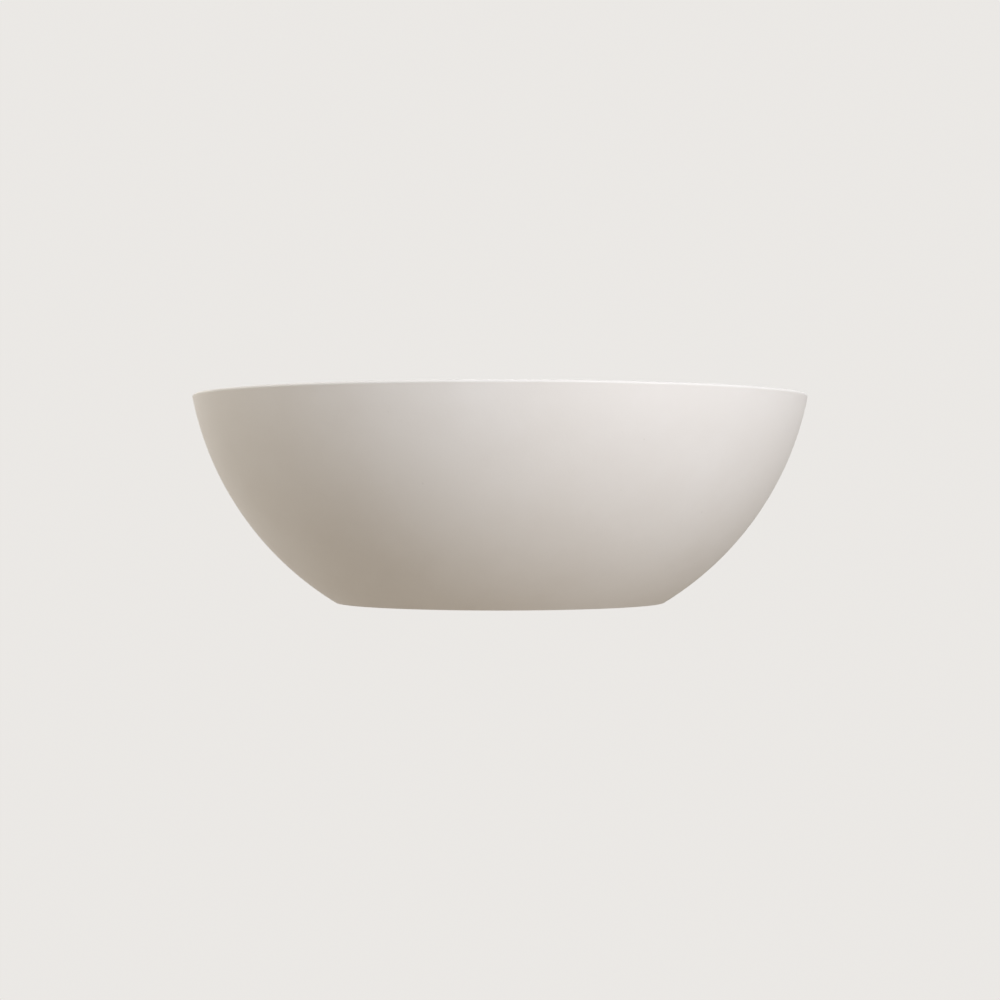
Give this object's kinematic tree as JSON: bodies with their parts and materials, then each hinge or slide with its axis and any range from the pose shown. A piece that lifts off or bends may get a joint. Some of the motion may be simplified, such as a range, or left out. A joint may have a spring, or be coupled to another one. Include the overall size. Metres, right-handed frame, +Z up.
{
  "type": "wall sconce",
  "caption": "Half-round ceramic wall light, open above and below, with its wall bracket, thumb-screw fixing, lampholder, wiring and lamp",
  "frame": {"origin": "on the wall plane, midway between the two wall slots of the bracket", "axes": "+X to the right along the wall, -Y straight out from the wall, +Z up"},
  "size_m": [0.2996, 0.1498, 0.1008],
  "materials": {
    "bisque": "matt white, fine grain of an unglazed casting",
    "insert_brass": "turned brass, slightly dull",
    "nickel": "bright nickel plate on turned brass",
    "zinc_plate": "bright zinc plate",
    "bracket_steel": "zinc-plated pressed steel, faint spangle",
    "arm_steel": "zinc-plated pressed steel",
    "grommet_rubber": "black moulded rubber, matt",
    "holder_ceramic": "white steatite, half-matt",
    "contact_brass": "rolled spring brass",
    "block_nylon": "natural white nylon",
    "wire_brown": "brown wire insulation",
    "wire_blue": "blue wire insulation",
    "wire_green_yellow": "green wire insulation with a yellow stripe",
    "glass_sleeve": "braided glass sleeve",
    "tin_plate": "tin plate",
    "lamp_white": "white moulded plastic",
    "board_white": "white lacquered circuit board",
    "phosphor": "yellow phosphor gel",
    "milky_cover": "milky diffusing plastic"
  },
  "bodies": {
    "mounting": {"wall_bracket": "bracket_steel", "cable_grommet": "grommet_rubber", "lampholder_arm": "arm_steel", "arm_screws": "zinc_plate", "arm_nuts": "zinc_plate", "lampholder": "holder_ceramic", "lamp_contacts": "contact_brass", "lampholder_screws": "zinc_plate", "lampholder_nuts": "zinc_plate", "terminal_block": "block_nylon", "terminal_tubes": "insert_brass", "terminal_screws": "zinc_plate", "terminal_fixing": "zinc_plate", "lead_live": "wire_brown", "lead_neutral": "wire_blue", "lead_earth": "wire_green_yellow", "lead_sleeves": "glass_sleeve", "wire_ferrules": "tin_plate", "earth_tag": "tin_plate", "earth_washer": "zinc_plate", "earth_screw": "insert_brass"},
    "shade": {"shade": "bisque", "shade_inserts": "insert_brass"},
    "lamp": {"bulb_base": "lamp_white", "bulb_pins": "tin_plate", "bulb_board": "board_white", "bulb_chips": "phosphor", "bulb_cover": "milky_cover"},
    "right_washer": {"washer_right": "zinc_plate"},
    "right_thumbscrew": {"thumbscrew_right": "nickel"},
    "left_washer": {"washer_left": "zinc_plate"},
    "left_thumbscrew": {"thumbscrew_left": "nickel"}
  },
  "joints": [
    {"name": "shade_lift_off", "type": "slide", "parent": "mounting", "child": "shade", "axis": [0, -1, 0], "range_m": [0, 0.08]},
    {"name": "lamp_pull_out", "type": "slide", "parent": "mounting", "child": "lamp", "axis": [0, 0, 1], "range_m": [0, 0.1]},
    {"name": "right_screw_travel", "type": "slide", "parent": "shade", "child": "right_washer", "axis": [-1, 0, 0], "range_m": [0, 0.00305]},
    {"name": "right_screw_turn", "type": "hinge", "parent": "right_washer", "child": "right_thumbscrew", "pos_m": [0.098, -0.02, 0], "axis": [-1, 0, 0], "range_deg": [0, 1350]},
    {"name": "left_screw_travel", "type": "slide", "parent": "shade", "child": "left_washer", "axis": [1, 0, 0], "range_m": [0, 0.00305]},
    {"name": "left_screw_turn", "type": "hinge", "parent": "left_washer", "child": "left_thumbscrew", "pos_m": [-0.098, -0.02, 0], "axis": [1, 0, 0], "range_deg": [0, 1350]}
  ],
  "couplings": [
    {"joint": "right_screw_travel", "follows": "right_screw_turn", "m_per_rad": 0.00012732},
    {"joint": "left_screw_travel", "follows": "left_screw_turn", "m_per_rad": 0.00012732}
  ]
}
